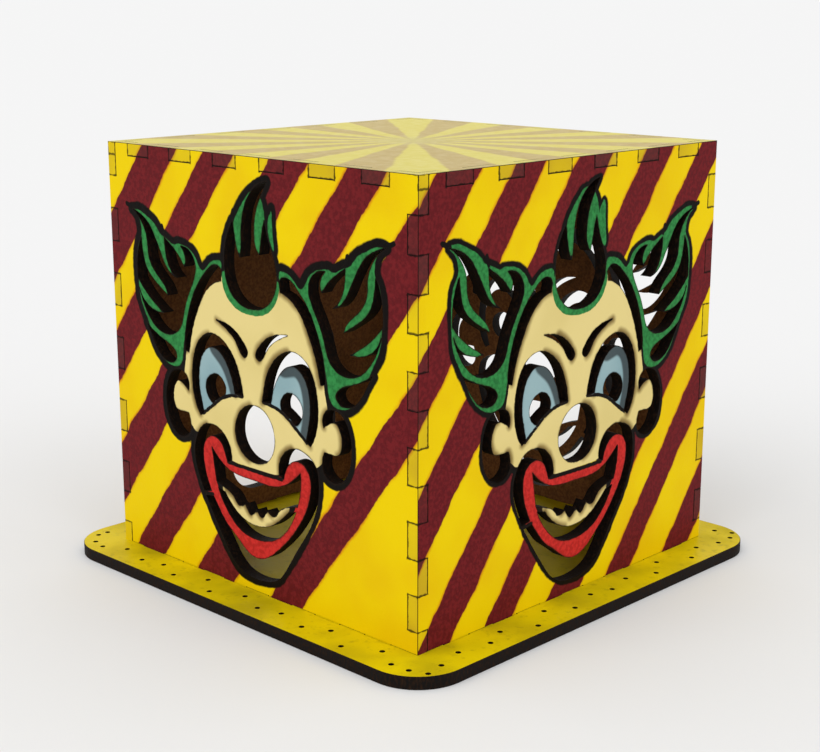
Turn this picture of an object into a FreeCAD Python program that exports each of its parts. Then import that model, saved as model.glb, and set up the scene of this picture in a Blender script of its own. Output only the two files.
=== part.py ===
"""A square fretwork light box: four walls and a top make a shell that lifts off its base plate.

The frame is +Z up, with its origin at the middle of the base plate's underside, and the front wall faces -Y.
Every panel is cut from one thickness of board, and the panels lock together with square fingers.
Three walls are pierced with a clown's face, and the left one has a plain doorway for a lamp.
Sizes are millimetres.
"""
import FreeCAD, Part
import math
import os

import Sketcher

DRIVING_SIZES = (
    ("side", 105),            # outer width and depth of the box
    ("height", 105),          # from the underside of the base plate to the top of the box
    ("board", 3),             # thickness of every panel
    ("fingers", 13),          # finger-joint segments along each edge, an odd number
    ("rim", 11),              # how far the base plate stands out past the walls
    ("corner_radius", 12),    # rounded corners of the base plate
    ("slot_gap", 0.2),        # clearance round each foot tab in its slot
    ("tab_relief", 0.2),      # how far the foot tabs stop above the underside
    ("dot_diameter", 1.3),    # small round holes along the rim of the base plate
    ("dot_spacing", 7.3),     # mean distance from one of those holes to the next
    ("dot_inner_row", 4.2),   # distance of the inner row of holes from the walls
    ("dot_outer_row", 7.2),   # distance of the outer row of holes from the walls
    ("dot_wander", 0.8),      # how far a hole strays from its even place
    ("dot_beat", 2.4),        # radians that the straying swings on from one hole to the next, along the rim
    ("dot_cross_beat", 4.1),  # the same, across the rim
    ("side_band", 9.1),       # board left whole at each side of the fretwork
    ("top_band", 5.1),        # board left whole above the fretwork
    ("foot_band", 6),         # board left whole below the fretwork
    ("door_width", 38),       # the doorway in the left wall
    ("door_height", 44),      # the same, upwards
    ("door_sill", 8),         # height of the doorway's foot above the underside of the base plate
    ("door_corner", 8),       # radius of the doorway's corners
)

# Formulas in the sheet's names, shared by several panels.
STEP_ACROSS = "sizes.side / sizes.fingers"
STEP_UP = "sizes.height / sizes.fingers"
INNER_SIDE = "sizes.side - sizes.board"
PLATE = "(sizes.side + 2 * sizes.rim)"
TABS = "(sizes.fingers - 1) / 2"
NOTCHES = "(sizes.fingers + 1) / 2"

SAME_PLACE = 0.01             # lengths below this count as nothing

# The fretwork is a clown's face, drawn about its own middle with +x to the right and +y up, and stretched
# to fill the wall inside the bands.  An outline is a ring of strokes.  A stroke is a smooth curve through
# its points, it ends where the next one starts, and a stroke of one point runs straight to the next.
DRAWN_HALF_WIDTH = 43.4
DRAWN_TOP = 47.4
DRAWN_FOOT = -46.5

# One side tuft of hair: four pointed strands hang from the outer edge into a single opening.
SIDE_HAIR = (
    ((-43.4, 36.9), (-40.5, 36.0), (-37.4, 34.2), (-35.0, 31.2), (-33.0, 27.8), (-31.0, 24.5)),
    ((-26.8, 22.0), (-29.4, 24.1), (-30.7, 26.8), (-31.1, 29.2)),
    ((-31.2, 31.2), (-28.6, 29.6), (-26.0, 27.6)),
    ((-23.9, 25.0), (-23.3, 26.8), (-23.9, 28.6)),
    ((-25.0, 29.8), (-22.6, 29.5), (-20.4, 27.8), (-19.6, 25.2), (-20.7, 21.8), (-22.8, 18.2),
     (-24.6, 13.8), (-26.0, 10.3), (-28.4, 8.4), (-31.6, 7.8), (-35.0, 8.6), (-38.0, 10.9),
     (-40.4, 14.2)),
    ((-41.9, 17.9), (-39.8, 14.8), (-36.9, 13.2)),
    ((-32.3, 12.8), (-35.6, 14.6), (-38.8, 16.8)),
    ((-42.3, 20.3), (-42.3, 24.0), (-41.6, 27.6)),
    ((-40.3, 30.4), (-39.9, 27.0), (-38.6, 23.2), (-35.4, 20.2)),
    ((-30.5, 17.3), (-32.4, 20.2), (-35.6, 22.8), (-37.6, 26.0), (-38.0, 30.0), (-39.6, 33.6)),
)
LOW_HAIR = (
    ((-39.3, 9.4), (-36.2, 7.6), (-32.2, 6.0), (-29.0, 4.6), (-27.9, 3.0), (-28.7, 1.6), (-30.8, 1.0),
     (-33.6, 1.9), (-36.4, 4.8)),
)
TEMPLE = (
    ((-10.0, 25.4), (-11.0, 26.7), (-12.9, 26.8), (-15.4, 25.2), (-18.6, 22.0), (-21.3, 17.8),
     (-23.2, 13.2), (-24.3, 8.8)),
    ((-24.5, 5.0),),
    ((-23.1, 4.6), (-22.2, 8.2), (-20.8, 12.2), (-19.0, 15.9), (-16.6, 19.6), (-13.6, 22.2)),
    ((-10.3, 23.4),),
)
BROW = (
    ((-12.4, 14.0), (-8.6, 13.5), (-5.0, 12.0), (-2.4, 9.6), (-1.5, 7.4), (-2.4, 6.7), (-4.0, 7.6),
     (-5.6, 9.9), (-8.2, 12.0)),
)
EYE = (
    ((-19.4, -10.0), (-21.3, -6.8), (-22.1, -1.8), (-21.5, 3.4), (-18.9, 8.4), (-14.6, 10.5),
     (-10.2, 9.4), (-6.6, 6.2), (-4.4, 1.8)),
    ((-3.4, -2.7),),
    ((-6.3, -2.6), (-7.4, 1.0), (-9.4, 4.6), (-12.0, 6.8), (-14.9, 7.2), (-17.6, 5.4), (-19.3, 1.6),
     (-19.5, -3.0), (-18.7, -6.6)),
    ((-18.0, -9.2),),
)
PUPIL = (
    ((-14.6, -6.2), (-16.6, -4.4), (-16.9, -1.8), (-15.4, 0.2), (-13.0, 1.0), (-10.7, 0.0),
     (-9.7, -1.8)),
    ((-9.9, -3.4), (-12.2, -4.6)),
)
EAR = (
    ((-23.9, -4.8), (-23.6, -2.8), (-24.7, -1.0), (-27.0, -0.3), (-29.6, -1.0), (-31.6, -3.4),
     (-32.6, -7.0), (-32.4, -11.0), (-30.8, -14.8), (-27.6, -16.8), (-24.9, -16.2)),
    ((-23.3, -14.0), (-23.4, -12.2)),
    ((-24.0, -10.5), (-26.4, -10.5), (-28.6, -10.2), (-29.7, -7.8), (-29.3, -5.0), (-27.8, -3.1),
     (-26.0, -3.4)),
)
TOP_HAIR = (
    ((-5.6, 37.7), (-7.5, 34.6), (-8.7, 30.6), (-8.9, 26.6), (-7.9, 22.8), (-5.6, 20.0), (-2.4, 18.5),
     (1.4, 18.3), (5.0, 19.3), (7.6, 21.6), (9.1, 25.4), (8.7, 29.4), (7.4, 32.6), (6.2, 35.6)),
    ((5.4, 38.9), (4.5, 36.0), (4.0, 33.4)),
    ((3.4, 30.9), (2.0, 33.2), (1.8, 36.6), (2.4, 40.0), (4.0, 43.6)),
    ((6.4, 47.4), (3.2, 46.3), (0.2, 43.8), (-1.8, 40.2), (-2.6, 36.4), (-2.8, 32.6)),
    ((-3.4, 29.6), (-4.5, 32.0), (-5.1, 34.8)),
)
NOSE = (
    ((0.4, -4.2), (-3.6, -5.6), (-6.2, -9.2), (-6.3, -13.2), (-3.9, -16.5), (0.6, -17.9),
     (4.9, -16.5), (7.2, -12.6), (6.8, -8.4), (4.2, -5.2)),
)
# The mouth is open above and below a crescent of teeth, which two narrow bridges hold to the lips.
OPEN_MOUTH = (
    ((-15.5, -17.2), (-13.4, -19.2), (-10.6, -21.0), (-6.6, -22.1), (0.3, -22.3), (7.0, -22.2),
     (10.9, -20.9), (13.6, -19.1)),
    ((15.9, -17.1), (15.9, -20.4)),
    ((14.7, -25.2), (11.2, -26.1), (8.4, -27.7), (6.7, -29.4), (5.4, -29.3)),
    ((4.3, -28.4), (3.3, -29.9), (2.2, -30.7), (1.3, -30.2)),
    ((0.5, -29.1), (-0.6, -30.3), (-1.8, -30.9), (-2.8, -30.0)),
    ((-3.7, -28.7), (-4.9, -29.4), (-6.1, -29.5), (-7.4, -28.2), (-11.2, -26.3)),
    ((-14.1, -25.4), (-14.6, -22.6), (-15.1, -19.6)),
)
LOW_MOUTH = (
    ((-13.6, -26.8), (-12.3, -29.2), (-9.6, -32.6), (-5.8, -35.4), (-1.4, -36.5), (3.2, -36.2),
     (7.4, -34.7), (10.8, -31.9), (13.2, -28.6)),
    ((14.2, -26.6),),
    ((11.7, -27.2), (7.8, -30.6), (4.4, -32.5), (0.8, -33.2), (-2.8, -33.0), (-6.6, -31.4)),
    ((-10.9, -27.5),),
)
# The lips hang from under the nose, and one narrow bridge holds them to the jaw.
LEFT_CHEEK = (
    ((-8.2, -19.0), (-8.4, -16.6), (-10.2, -13.6), (-12.8, -12.0), (-15.6, -11.6), (-18.4, -12.4),
     (-20.4, -14.4)),
    ((-21.3, -16.2), (-22.1, -19.4), (-21.5, -23.2), (-19.9, -27.0)),
    ((-18.9, -28.9),),
    ((-16.2, -28.3), (-18.0, -24.2), (-18.8, -20.2), (-18.3, -16.8), (-16.6, -14.9), (-14.2, -14.4),
     (-12.0, -15.4), (-10.6, -17.6)),
    ((-9.8, -19.8),),
)
CHIN = (
    ((-18.3, -29.9), (-15.0, -34.9), (-11.5, -39.8), (-8.6, -43.4), (-5.2, -45.7), (-0.8, -46.5),
     (3.8, -46.1), (7.6, -44.6), (10.8, -41.0), (14.6, -35.4), (18.2, -30.4), (20.6, -25.8),
     (21.9, -21.0)),
    ((21.6, -15.4), (20.2, -13.4), (18.0, -12.2), (15.4, -11.6), (12.4, -12.2), (10.2, -13.8),
     (8.8, -16.4)),
    ((8.7, -19.0),),
    ((10.2, -19.7), (11.0, -17.4), (12.6, -15.3), (14.9, -14.4), (17.4, -15.0), (19.1, -17.2),
     (19.3, -20.8), (18.0, -25.0), (15.2, -29.6), (11.6, -33.9), (8.0, -37.2), (4.6, -39.8),
     (0.6, -41.2), (-3.2, -40.4), (-6.6, -38.0), (-10.6, -35.2), (-13.6, -31.8)),
    ((-15.4, -29.4),),
)
PAIRED_OUTLINES = (SIDE_HAIR, LOW_HAIR, TEMPLE, BROW, EYE, PUPIL, EAR)
SINGLE_OUTLINES = (TOP_HAIR, OPEN_MOUTH, LOW_MOUTH, LEFT_CHEEK, CHIN)

document = FreeCAD.newDocument("light_box")
sheet = document.addObject("Spreadsheet::Sheet", "sizes")
for row, (alias, number) in enumerate(DRIVING_SIZES, start=1):
    sheet.set("A%d" % row, alias)
    sheet.set("B%d" % row, str(number))
    sheet.setAlias("B%d" % row, alias)
document.recompute()


def value(formula):
    """The number that a formula in the sheet's names comes to."""
    return float(sheet.evalExpression(formula))


def new_sketch(body, plane, name):
    """An empty sketch on one of the body's own origin planes."""
    sketch = body.newObject("Sketcher::SketchObject", name)
    origin_plane = [feature for feature in body.Origin.OriginFeatures if feature.Role == plane][0]
    sketch.AttachmentSupport = [(origin_plane, "")]
    sketch.MapMode = "FlatFace"
    return sketch


def rectangle(body, plane, name, left, right, low, high):
    """A sketched rectangle whose four sides are bound to formulas."""
    sketch = new_sketch(body, plane, name)
    x = (value(left), value(right), value(right), value(left))
    y = (value(low), value(low), value(high), value(high))
    corners = [FreeCAD.Vector(x[i], y[i], 0) for i in range(4)]
    for i in range(4):
        sketch.addGeometry(Part.LineSegment(corners[i], corners[(i + 1) % 4]))
    for i in range(4):
        sketch.addConstraint(Sketcher.Constraint("Coincident", i, 2, (i + 1) % 4, 1))
        sketch.addConstraint(Sketcher.Constraint("Vertical" if i % 2 else "Horizontal", i))
    bounds = (("left", "DistanceX", 0, left), ("low", "DistanceY", 0, low),
              ("right", "DistanceX", 2, right), ("high", "DistanceY", 2, high))
    for label, kind, edge, formula in bounds:
        index = sketch.addConstraint(Sketcher.Constraint(kind, -1, 1, edge, 1, value(formula)))
        sketch.renameConstraint(index, label)
        sketch.setExpression("Constraints." + label, formula)
    return sketch


def new_panel(name, plane, left, right, low, high):
    """A body that starts as a plain rectangle of board."""
    body = document.addObject("PartDesign::Body", name)
    body.Label = name
    blank = body.newObject("PartDesign::Pad", name + "_board")
    blank.Profile = rectangle(body, plane, name + "_outline", left, right, low, high)
    blank.setExpression("Length", "sizes.board")
    return body


def cut_through(body, sketch):
    """Cut a sketch's shapes right through the panel."""
    pocket = body.newObject("PartDesign::Pocket", sketch.Name + "_cut")
    pocket.Profile = sketch
    pocket.Type = 1  # through all
    pocket.Midplane = True
    return pocket


def cut_row(body, plane, name, left, right, low, high, axis, count, pitch):
    """Cut one rectangle through the panel and repeat it along an axis of its sketch."""
    sketch = rectangle(body, plane, name, left, right, low, high)
    pocket = cut_through(body, sketch)
    row = body.newObject("PartDesign::LinearPattern", name + "_row")
    row.Originals = [pocket]
    row.Direction = (sketch, [axis])
    row.setExpression("Length", "(%s - 1) * %s" % (count, pitch))
    row.setExpression("Occurrences", count)
    body.Tip = row


def round_corners(body, normal, corners, radius):
    """Round the edges that run through a panel, along its normal, at some corners in its own frame."""
    document.recompute()
    through = []
    for number, edge in enumerate(body.Shape.Edges, start=1):
        start, end = (vertex.Point for vertex in edge.Vertexes)
        runs_through = (end - start).cross(normal).Length < SAME_PLACE
        if runs_through and any((start - corner).cross(normal).Length < SAME_PLACE for corner in corners):
            through.append("Edge%d" % number)
    square = body.Tip
    rounding = body.newObject("PartDesign::Fillet", body.Name + "_corners")
    rounding.Base = (square, through)
    rounding.setExpression("Radius", radius)
    body.Tip = rounding


def place(panel, x, y, z, quarter_turns=0):
    """Turn a panel about the upright axis and stand it at a place given by formulas."""
    turn = FreeCAD.Rotation(FreeCAD.Vector(0, 0, 1), 90 * quarter_turns)
    panel.Placement = FreeCAD.Placement(FreeCAD.Vector(), turn)
    for letter, formula in (("x", x), ("y", y), ("z", z)):
        panel.setExpression("Placement.Base." + letter, formula)


def drawn_point(point):
    """A point of the drawing, stretched into the wall's own frame, with its origin at the lower left."""
    stretch_x = value("sizes.side - 2 * sizes.side_band") / (2 * DRAWN_HALF_WIDTH)
    stretch_y = value("sizes.height - sizes.top_band - sizes.foot_band") / (DRAWN_TOP - DRAWN_FOOT)
    return FreeCAD.Vector(
        value("sizes.side_band") + stretch_x * (point[0] + DRAWN_HALF_WIDTH),
        value("sizes.foot_band") + stretch_y * (point[1] - DRAWN_FOOT),
        0,
    )


def stroke_curve(points):
    """A straight line for two points, or a smooth curve through more."""
    if len(points) == 2:
        return Part.LineSegment(points[0], points[1])
    curve = Part.BSplineCurve()
    curve.interpolate(points)
    return curve


def outline_curves(outline):
    """The curves that go once round an outline, each ending where the next starts."""
    strokes = [[drawn_point(point) for point in stroke] for stroke in outline]
    starts = [stroke[0] for stroke in strokes]
    return [stroke_curve(stroke + [starts[(i + 1) % len(starts)]]) for i, stroke in enumerate(strokes)]


def mirrored(outline):
    """The same outline on the other side of the face."""
    return tuple(tuple((-x, y) for x, y in stroke) for stroke in outline)


def round_curve(outline):
    """One closed smooth curve through every point of a single stroke."""
    curve = Part.BSplineCurve()
    curve.interpolate(Points=[drawn_point(point) for point in outline[0]], PeriodicFlag=True)
    return [curve]


def make_fretwork():
    """Every opening of the clown's face as a solid plug that runs out past both faces of the board."""
    rings = [round_curve(NOSE)]
    rings += [outline_curves(outline) for outline in SINGLE_OUTLINES]
    for outline in PAIRED_OUTLINES:
        rings += [outline_curves(outline), outline_curves(mirrored(outline))]
    board = value("sizes.board")
    inside = FreeCAD.Vector(0, 2 * board, 0)
    outward = FreeCAD.Vector(0, -3 * board, 0)
    plugs = []
    for ring in rings:
        face = Part.Face(Part.Wire([curve.toShape() for curve in ring]))
        face.rotate(FreeCAD.Vector(), FreeCAD.Vector(1, 0, 0), 90)
        face.translate(inside)
        plugs.append(face.extrude(outward))
    fretwork = document.addObject("Part::Feature", "fretwork")
    fretwork.Shape = Part.makeCompound(plugs)
    return fretwork


def make_wall_board(name):
    """A wall before it is pierced: fingers out on odd steps at the left and on even steps at the right."""
    plane = "XZ_Plane"
    two_across = "2 * " + STEP_ACROSS
    two_up = "2 * " + STEP_UP
    wall = new_panel(name, plane, "0", "sizes.side", "sizes.tab_relief", "sizes.height")
    cut_row(wall, plane, "head", STEP_ACROSS, two_across, "sizes.height - sizes.board", "sizes.height",
            "H_Axis", TABS, two_across)
    cut_row(wall, plane, "foot", "0", STEP_ACROSS, "0", "sizes.board",
            "H_Axis", NOTCHES, two_across)
    cut_row(wall, plane, "left_edge", "0", "sizes.board", "0", STEP_UP,
            "V_Axis", NOTCHES, two_up)
    cut_row(wall, plane, "right_edge", INNER_SIDE, "sizes.side", STEP_UP, two_up, "V_Axis", TABS, two_up)
    return wall


def make_face_wall(name, wall_board, fretwork, x, y, quarter_turns):
    """One wall with the clown's face, turned to its side of the box.  The three are alike."""
    wall = document.addObject("Part::Cut", name)
    wall.Label = name
    wall.Base = wall_board
    wall.Tool = fretwork
    place(wall, x, y, "0", quarter_turns)
    return wall


def make_door_wall(name, x, y, quarter_turns):
    """The wall with the doorway that a lamp goes in by."""
    wall = make_wall_board(name)
    left = "(sizes.side - sizes.door_width) / 2"
    right = "(sizes.side + sizes.door_width) / 2"
    low = "sizes.door_sill"
    high = "sizes.door_sill + sizes.door_height"
    doorway = rectangle(wall, "XZ_Plane", "doorway", left, right, low, high)
    wall.Tip = cut_through(wall, doorway)
    corners = [
        FreeCAD.Vector(value(side), 0, value(level))
        for side in (left, right)
        for level in (low, high)
    ]
    round_corners(wall, FreeCAD.Vector(0, 1, 0), corners, "sizes.door_corner")
    place(wall, x, y, "0", quarter_turns)
    return wall


def make_top_panel():
    """The top, notched on all four edges for the heads of the walls."""
    plane = "XY_Plane"
    two_across = "2 * " + STEP_ACROSS
    near = ("0", "sizes.board")
    far = (INNER_SIDE, "sizes.side")
    first = ("0", STEP_ACROSS)
    top = new_panel("top_panel", plane, "0", "sizes.side", "0", "sizes.side")
    cut_row(top, plane, "front_notches", *first, *near, "H_Axis", NOTCHES, two_across)
    cut_row(top, plane, "back_notches", *first, *far, "H_Axis", NOTCHES, two_across)
    cut_row(top, plane, "left_notches", *near, *first, "V_Axis", NOTCHES, two_across)
    cut_row(top, plane, "right_notches", *far, *first, "V_Axis", NOTCHES, two_across)
    place(top, "-sizes.side / 2", "-sizes.side / 2", "sizes.height - sizes.board")
    return top


def dot_places():
    """The small holes straggle along each side of the rim in two staggered rows."""
    plate = value(PLATE)
    middle = FreeCAD.Vector(plate / 2, plate / 2, 0)
    count = round(plate / value("sizes.dot_spacing"))
    pitch = plate / count
    wander = value("sizes.dot_wander")
    rows = (value("sizes.rim - sizes.dot_inner_row"), value("sizes.rim - sizes.dot_outer_row"))
    places = []
    for quarter in range(4):
        turn = FreeCAD.Rotation(FreeCAD.Vector(0, 0, 1), 90 * quarter)
        for k in range(count):
            along = pitch / 2 + k * pitch + wander * math.sin(value("sizes.dot_beat") * k + quarter)
            inward = rows[k % 2] + wander * math.cos(value("sizes.dot_cross_beat") * k + quarter)
            places.append(middle + turn.multVec(FreeCAD.Vector(along, inward, 0) - middle))
    return places


def make_base_plate():
    """The base: rounded corners, a slot for every foot tab and small holes along the rim."""
    plane = "XY_Plane"
    two_across = "2 * " + STEP_ACROSS
    base = new_panel("base_plate", plane, "0", PLATE, "0", PLATE)
    corners = [FreeCAD.Vector(value(x), value(y), 0) for x in ("0", PLATE) for y in ("0", PLATE)]
    round_corners(base, FreeCAD.Vector(0, 0, 1), corners, "sizes.corner_radius")
    near = ("sizes.rim - sizes.slot_gap", "sizes.rim + sizes.board + sizes.slot_gap")
    far = ("sizes.rim + %s - sizes.slot_gap" % INNER_SIDE, "sizes.rim + sizes.side + sizes.slot_gap")
    first = ("sizes.rim - sizes.slot_gap + " + STEP_ACROSS, "sizes.rim + sizes.slot_gap + " + two_across)
    cut_row(base, plane, "front_slots", *first, *near, "H_Axis", TABS, two_across)
    cut_row(base, plane, "back_slots", *first, *far, "H_Axis", TABS, two_across)
    cut_row(base, plane, "left_slots", *near, *first, "V_Axis", TABS, two_across)
    cut_row(base, plane, "right_slots", *far, *first, "V_Axis", TABS, two_across)
    dots = new_sketch(base, plane, "rim_dots")
    for centre in dot_places():
        dots.addGeometry(Part.Circle(centre, FreeCAD.Vector(0, 0, 1), value("sizes.dot_diameter / 2")))
    base.Tip = cut_through(base, dots)
    corner = "-%s / 2" % PLATE
    place(base, corner, corner, "0")
    return base


half_side = "sizes.side / 2"
to_inner_face = "(sizes.side / 2 - sizes.board)"
board = make_wall_board("wall_board")
face = make_fretwork()
panels = [
    make_base_plate(),
    make_face_wall("wall_front", board, face, "-" + half_side, "-" + to_inner_face, 0),
    make_face_wall("wall_right", board, face, to_inner_face, "-" + half_side, 1),
    make_face_wall("wall_back", board, face, half_side, to_inner_face, 2),
    make_door_wall("wall_left", "-" + to_inner_face, half_side, 3),
    make_top_panel(),
]
document.recompute()

for thing in document.Objects:
    if "Invalid" in thing.State or "Error" in thing.State:
        raise RuntimeError("%s did not build: %s" % (thing.Name, thing.State))
os.makedirs("parts", exist_ok=True)
for panel in panels:
    shape = panel.Shape
    if shape.isNull() or not shape.isValid() or len(shape.Solids) != 1:
        raise RuntimeError("%s is not one sound solid" % panel.Label)
    shape.exportStep("parts/%s.step" % panel.Label)
    box = shape.BoundBox
    print("%-12s %8.1f mm3  x %.1f..%.1f  y %.1f..%.1f  z %.1f..%.1f" % (
        panel.Label, shape.Volume, box.XMin, box.XMax, box.YMin, box.YMax, box.ZMin, box.ZMax))
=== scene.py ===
"""The looks of a hand-painted fretwork light box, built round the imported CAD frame.

Every CAD panel is stood for by a finer mesh of the same shape, which carries the painting as distances
stored on its vertices.  The materials turn those distances into brushed edges.
"""

import math
from collections import namedtuple

import bpy
import numpy as np
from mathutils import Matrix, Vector
from mathutils.geometry import delaunay_2d_cdt


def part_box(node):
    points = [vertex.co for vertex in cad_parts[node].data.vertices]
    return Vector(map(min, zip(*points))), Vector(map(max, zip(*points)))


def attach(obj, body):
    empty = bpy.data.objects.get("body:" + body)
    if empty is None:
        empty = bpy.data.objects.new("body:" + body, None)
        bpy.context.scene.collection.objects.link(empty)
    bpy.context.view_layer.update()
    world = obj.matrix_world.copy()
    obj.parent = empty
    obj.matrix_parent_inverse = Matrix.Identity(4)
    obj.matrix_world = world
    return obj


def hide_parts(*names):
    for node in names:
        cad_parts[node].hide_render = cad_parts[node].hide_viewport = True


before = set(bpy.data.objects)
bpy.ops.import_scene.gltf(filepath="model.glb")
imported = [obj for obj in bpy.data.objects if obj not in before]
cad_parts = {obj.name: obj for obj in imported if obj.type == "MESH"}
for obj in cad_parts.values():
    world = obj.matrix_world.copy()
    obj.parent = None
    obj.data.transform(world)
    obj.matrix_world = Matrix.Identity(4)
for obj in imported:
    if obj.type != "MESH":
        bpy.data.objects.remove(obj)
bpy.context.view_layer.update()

# ---------------------------------------------------------------- sizes
# In metres, unless a name says mm.
X_AXIS = np.array((1.0, 0.0, 0.0))
Y_AXIS = np.array((0.0, 1.0, 0.0))
Z_AXIS = np.array((0.0, 0.0, 1.0))
WALL_LOW, WALL_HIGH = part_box("wall_front")
HALF_SIDE = WALL_HIGH.x
SIDE = 2 * HALF_SIDE
BOX_TOP = WALL_HIGH.z
BOARD = WALL_HIGH.y - WALL_LOW.y
DRAWN_SIDE_MM = 105                 # the drawing below is in millimetres on a wall this wide and high
DRAWN = SIDE / DRAWN_SIDE_MM        # one millimetre of the drawing
FINGERS = 13                        # steps of the finger joints along an edge
BEVEL = 0.12 * DRAWN                # worn, burnt arris round every panel
GRID = 0.55 * DRAWN                 # spacing of the vertices that carry the painting
WELD = 2e-6                         # CAD vertices closer than this are one point
CORNER_CUTS = 2                     # times that a drawn outline's corners are cut to round it
DARKENED_TILT = 0.3                  # an opening's edge can have the paint darkened beside it if it climbs by over this share of its length
FLUSH = 0.99                        # a cut edge whose direction agrees with a side by this much lies in it
FAR_MM = 50.0                       # stands for "nowhere near" in a stored distance
SHARP_ANGLE = math.radians(40)      # faces that meet at more than this have a hard edge between them

# ---------------------------------------------------------------- the painting, in millimetres
# Points run +x to the right and +y up from a wall's middle.  Each zone is loosely drawn: where its edge
# runs through an opening, the opening trims it.
SIDE_HAIR_ZONE = (
    (-44.0, 37.3), (-41.2, 37.6), (-39.0, 36.9), (-36.7, 35.8), (-35.0, 35.0), (-33.5, 33.7),
    (-32.4, 32.2), (-30.9, 31.9), (-29.2, 31.1), (-27.6, 30.3), (-26.2, 31.0), (-23.6, 30.7),
    (-21.7, 30.2), (-19.9, 29.1), (-18.7, 27.7), (-18.0, 26.3), (-16.9, 25.3), (-15.7, 26.6),
    (-14.2, 27.9), (-12.4, 28.6), (-9.4, 28.8), (-9.4, 25.0), (-14.6, 23.6), (-17.4, 20.8),
    (-20.2, 17.0), (-22.3, 13.2), (-23.8, 9.0), (-24.7, 5.0), (-25.0, 2.4), (-25.7, 1.1), (-27.0, 0.0),
    (-29.2, -0.4), (-31.5, 0.0), (-33.0, 0.8), (-34.9, 2.2), (-36.4, 4.1), (-37.5, 6.4), (-38.8, 9.0),
    (-39.9, 10.9), (-41.2, 13.1), (-42.2, 15.4), (-42.6, 18.4), (-42.8, 24.0), (-42.6, 26.6),
    (-42.0, 28.9), (-41.1, 30.2), (-40.5, 31.5), (-40.9, 33.8), (-41.6, 35.2), (-43.1, 36.4),
)
TOP_HAIR_ZONE = (
    (0.0, 16.7), (4.5, 17.2), (7.8, 19.3), (9.8, 22.5), (10.2, 25.6), (8.4, 28.2), (7.2, 32.6),
    (6.0, 36.4), (6.2, 39.6), (5.4, 43.0), (3.8, 45.0), (1.0, 46.0), (-2.4, 42.6), (-4.8, 39.4),
    (-5.8, 37.6), (-6.2, 35.0), (-7.6, 31.6), (-8.0, 28.2), (-10.2, 25.6), (-9.6, 21.5), (-7.5, 18.9),
    (-4.5, 17.2),
)
SPIKE_ZONE = ((5.4, 37.6), (7.4, 42.2), (8.5, 42.2), (8.6, 36.6), (9.3, 31.6), (7.6, 31.6))
HALF_FACE_ZONE = (
    (0.0, 26.0), (-8.6, 25.6), (-10.6, 24.3), (-11.6, 24.4), (-14.8, 23.2), (-17.8, 20.0),
    (-20.4, 15.8), (-22.2, 11.8), (-23.4, 8.0), (-24.2, 4.6), (-24.6, 2.0), (-25.2, -0.8),
    (-24.7, -1.9), (-27.4, -1.7), (-30.6, -4.0), (-31.3, -8.0), (-30.0, -12.0), (-27.0, -13.2),
    (-23.9, -12.9), (-22.8, -13.6), (-21.0, -14.9), (-18.2, -13.5), (-14.6, -12.9), (-11.2, -14.3),
    (-9.1, -17.6), (-8.9, -19.3), (0.0, -19.3),
)
LIPS_ZONE = (
    (0.0, -19.7), (-8.8, -19.8), (-9.4, -19.2), (-11.0, -14.7), (-14.2, -13.1), (-17.4, -13.7),
    (-19.8, -16.4), (-20.5, -20.0), (-19.8, -24.0), (-17.9, -28.4), (-16.8, -29.8), (-14.0, -33.6),
    (-11.0, -37.4), (-7.6, -40.4), (-4.0, -43.0), (0.6, -43.8), (5.4, -42.4), (9.2, -39.0),
    (13.0, -34.6), (16.8, -29.8), (19.4, -25.4), (20.6, -20.8), (20.3, -16.4), (18.0, -13.5),
    (14.8, -12.9), (11.4, -14.4), (9.6, -17.6), (9.4, -19.7),
)
MOUTH_ZONE = (
    (-14.8, -18.4), (-14.2, -22.0), (-13.6, -25.8), (-12.8, -27.8), (-10.6, -30.6), (-6.8, -33.6),
    (-2.0, -34.9), (3.0, -34.7), (7.4, -33.0), (11.0, -30.2), (13.0, -27.6), (14.2, -25.4),
    (15.2, -19.0), (11.2, -22.2), (6.6, -23.4), (0.0, -23.6), (-7.0, -23.3), (-11.2, -22.2),
)
TEETH_ZONE = (
    (-11.7, -25.2), (-11.9, -27.4), (-9.0, -30.2), (-5.0, -33.0), (0.0, -34.4), (5.0, -33.2),
    (9.0, -30.8), (12.0, -27.6), (12.0, -25.2), (0.0, -25.8),
)
UNDER_EYE = ((-18.4, -9.5), (-14.5, -6.8), (-11.5, -4.6), (-9.0, -3.6), (-6.2, -3.0), (-3.6, -2.8))
LEFT_EYE_SHADE = ((-4.4, -2.4), (-5.9, 1.7), (-8.3, 5.5), (-12.0, 8.3))
RIGHT_EYE_SHADE = ((11.0, 7.8), (15.4, 8.9), (19.0, 6.3), (20.7, 1.6), (20.9, -3.0), (19.6, -8.6))
IRIS_ZONE = UNDER_EYE + (
    (-4.9, -2.0), (-5.9, 1.7), (-8.3, 5.5), (-12.0, 8.3), (-15.4, 8.9), (-19.0, 6.3), (-20.7, 1.6),
    (-20.9, -3.0), (-19.9, -8.2),
)
# Black strokes: a line of points and half the brush's width.
PAIRED_STROKES = (
    (UNDER_EYE, 0.45),
    (((-24.4, 5.2), (-24.8, 2.6), (-25.5, 0.4), (-26.6, -0.6)), 0.38),
    (((-24.2, -13.2), (-21.2, -15.8)), 0.75),
    (((-43.2, 37.1), (-45.6, 38.0)), 0.6),
    (((-31.2, 31.8), (-31.9, 34.0)), 0.5),
    (((-13.4, -25.4), (-12.6, -26.8)), 0.75),
)
SINGLE_STROKES = (
    (((-9.4, -19.7), (0.0, -19.9), (9.6, -19.8)), 0.5),
    (((-5.8, 37.8), (-5.4, 40.0)), 0.5),
    (((-18.6, -29.5), (-15.6, -29.0)), 0.5),
)
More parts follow.
